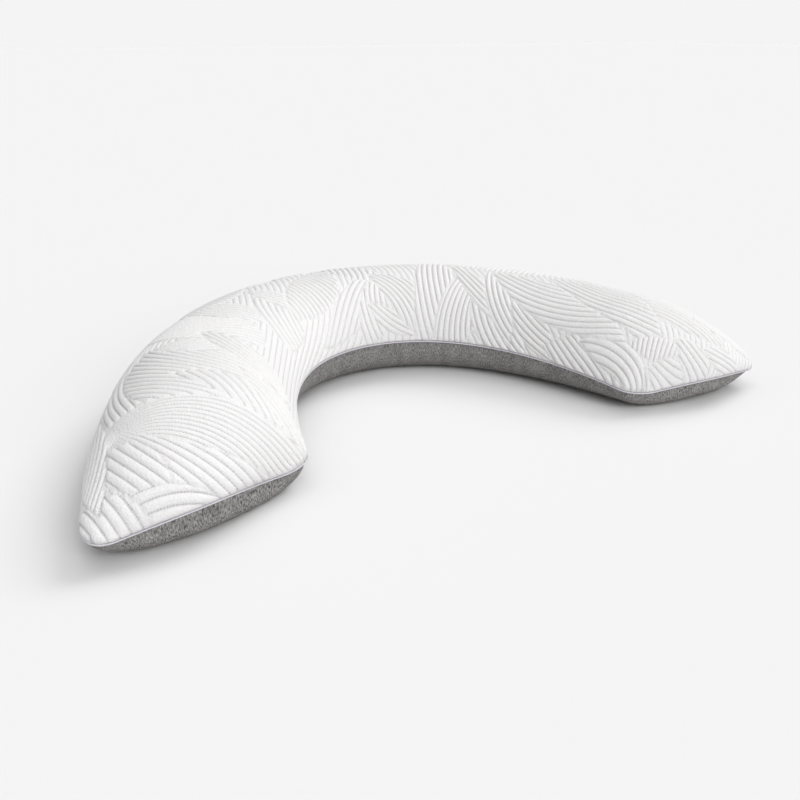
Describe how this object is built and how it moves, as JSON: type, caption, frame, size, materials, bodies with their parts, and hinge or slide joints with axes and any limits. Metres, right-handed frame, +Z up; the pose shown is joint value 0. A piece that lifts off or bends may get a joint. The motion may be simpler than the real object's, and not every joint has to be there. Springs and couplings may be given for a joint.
{
  "type": "body pillow",
  "caption": "Crescent side-sleeper body pillow: filled body in a grey knit cover, quilted white top panel, piping in the seam.",
  "frame": {"origin": "on the surface the pillow lies on, under the middle of the plan's bounding box", "axes": "+X from the left arm to the right arm, +Y towards the bulge of the crescent, whose arms open to -Y, +Z up from the underside to the quilted top"},
  "size_m": [1.322, 0.7512, 0.194],
  "materials": {
    "quilted_cloth": "quilted stretch knit, near-white",
    "knit_cloth": "heather-grey knit",
    "piping_cloth": "pale lilac-white covered cord"
  },
  "bodies": {
    "root": {"filled_knit_body": "knit_cloth", "quilted_top_panel": "quilted_cloth", "seam_piping": "piping_cloth"}
  },
  "joints": []
}
